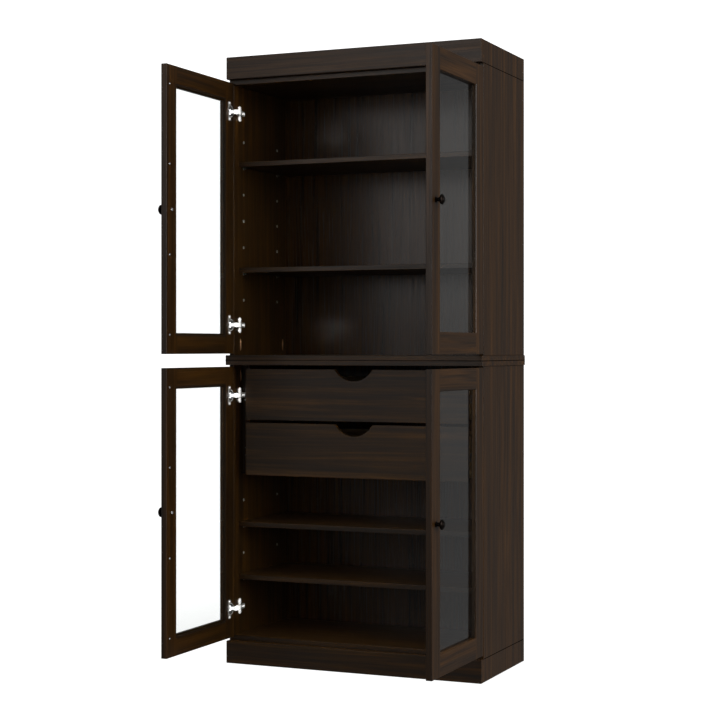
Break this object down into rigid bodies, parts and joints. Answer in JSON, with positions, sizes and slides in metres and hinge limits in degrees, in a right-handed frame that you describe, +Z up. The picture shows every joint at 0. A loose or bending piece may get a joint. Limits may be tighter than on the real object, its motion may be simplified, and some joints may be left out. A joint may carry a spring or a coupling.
{
  "type": "china cabinet with glass doors",
  "caption": "Tall two-tier china cabinet in dark stained wood, with framed glass doors on concealed hinges, adjustable shelves and inner drawers with scooped fronts.",
  "frame": {"origin": "on the floor, at the centre of the plinth's footprint", "axes": "+X to the right seen from the front, +Y to the back, +Z up; the doors face -Y and stand open at 90 degrees, the drawers are in"},
  "size_m": [0.864, 0.7785, 1.829],
  "materials": {
    "stained_wood": "satin lacquer over dark espresso stain",
    "stained_back_board": "satin lacquer over dark espresso stain on thin board",
    "birch_drawer_box": "clear lacquered birch",
    "birch_plywood": "clear lacquered birch plywood",
    "clear_glass": "polished clear float glass",
    "brown_vinyl_bead": "matt extruded vinyl in the brown of the wood",
    "dark_bronze_knob": "satin dark bronze over die-cast metal",
    "nickel_hinge": "bright nickel plate on pressed steel",
    "nickel_pins": "bright nickel plate on turned steel",
    "zinc_screws": "bright zinc plate on steel",
    "zinc_slide": "bright zinc plate on rolled steel sheet"
  },
  "bodies": {
    "carcass": {"bottom_panel": "stained_wood", "carcass_screws": "zinc_screws", "cornice_ends": "stained_wood", "cornice_rails": "stained_wood", "drawer_spacers": "stained_wood", "hinge_arms": "nickel_hinge", "hinge_plates": "nickel_hinge", "lower_back_panel": "stained_back_board", "lower_side_left": "stained_wood", "lower_side_right": "stained_wood", "lower_waist_panel": "stained_wood", "pin_sleeves": "nickel_pins", "plinth_ends": "stained_wood", "plinth_rails": "stained_wood", "shelf_pins": "nickel_pins", "shelves": "stained_wood", "slide_rails": "zinc_slide", "top_panel": "stained_wood", "upper_back_panel": "stained_back_board", "upper_side_left": "stained_wood", "upper_side_right": "stained_wood", "upper_waist_panel": "stained_wood"},
    "upper_left_door": {"upper_left_door_bead": "brown_vinyl_bead", "upper_left_door_glass": "clear_glass", "upper_left_door_hinge_cups": "nickel_hinge", "upper_left_door_knob": "dark_bronze_knob", "upper_left_door_rails": "stained_wood", "upper_left_door_screws": "zinc_screws", "upper_left_door_stiles": "stained_wood"},
    "upper_right_door": {"upper_right_door_bead": "brown_vinyl_bead", "upper_right_door_glass": "clear_glass", "upper_right_door_hinge_cups": "nickel_hinge", "upper_right_door_knob": "dark_bronze_knob", "upper_right_door_rails": "stained_wood", "upper_right_door_screws": "zinc_screws", "upper_right_door_stiles": "stained_wood"},
    "lower_left_door": {"lower_left_door_bead": "brown_vinyl_bead", "lower_left_door_glass": "clear_glass", "lower_left_door_hinge_cups": "nickel_hinge", "lower_left_door_knob": "dark_bronze_knob", "lower_left_door_rails": "stained_wood", "lower_left_door_screws": "zinc_screws", "lower_left_door_stiles": "stained_wood"},
    "lower_right_door": {"lower_right_door_bead": "brown_vinyl_bead", "lower_right_door_glass": "clear_glass", "lower_right_door_hinge_cups": "nickel_hinge", "lower_right_door_knob": "dark_bronze_knob", "lower_right_door_rails": "stained_wood", "lower_right_door_screws": "zinc_screws", "lower_right_door_stiles": "stained_wood"},
    "top_drawer": {"top_drawer_back": "birch_drawer_box", "top_drawer_bottom": "birch_plywood", "top_drawer_front": "stained_wood", "top_drawer_rails": "zinc_slide", "top_drawer_sides": "birch_drawer_box"},
    "bottom_drawer": {"bottom_drawer_back": "birch_drawer_box", "bottom_drawer_bottom": "birch_plywood", "bottom_drawer_front": "stained_wood", "bottom_drawer_rails": "zinc_slide", "bottom_drawer_sides": "birch_drawer_box"}
  },
  "joints": [
    {"name": "upper_left_door_hinge", "type": "hinge", "parent": "carcass", "child": "upper_left_door", "pos_m": [-0.399, -0.186, 1.34275], "axis": [0, 0, -1], "range_deg": [-90, 15]},
    {"name": "upper_right_door_hinge", "type": "hinge", "parent": "carcass", "child": "upper_right_door", "pos_m": [0.399, -0.186, 1.34275], "axis": [0, 0, 1], "range_deg": [-90, 15]},
    {"name": "lower_left_door_hinge", "type": "hinge", "parent": "carcass", "child": "lower_left_door", "pos_m": [-0.399, -0.186, 0.48625], "axis": [0, 0, -1], "range_deg": [-90, 15]},
    {"name": "lower_right_door_hinge", "type": "hinge", "parent": "carcass", "child": "lower_right_door", "pos_m": [0.399, -0.186, 0.48625], "axis": [0, 0, 1], "range_deg": [-90, 15]},
    {"name": "top_drawer_slide", "type": "slide", "parent": "carcass", "child": "top_drawer", "axis": [0, -1, 0], "range_m": [0, 0.23]},
    {"name": "bottom_drawer_slide", "type": "slide", "parent": "carcass", "child": "bottom_drawer", "axis": [0, -1, 0], "range_m": [0, 0.23]}
  ]
}
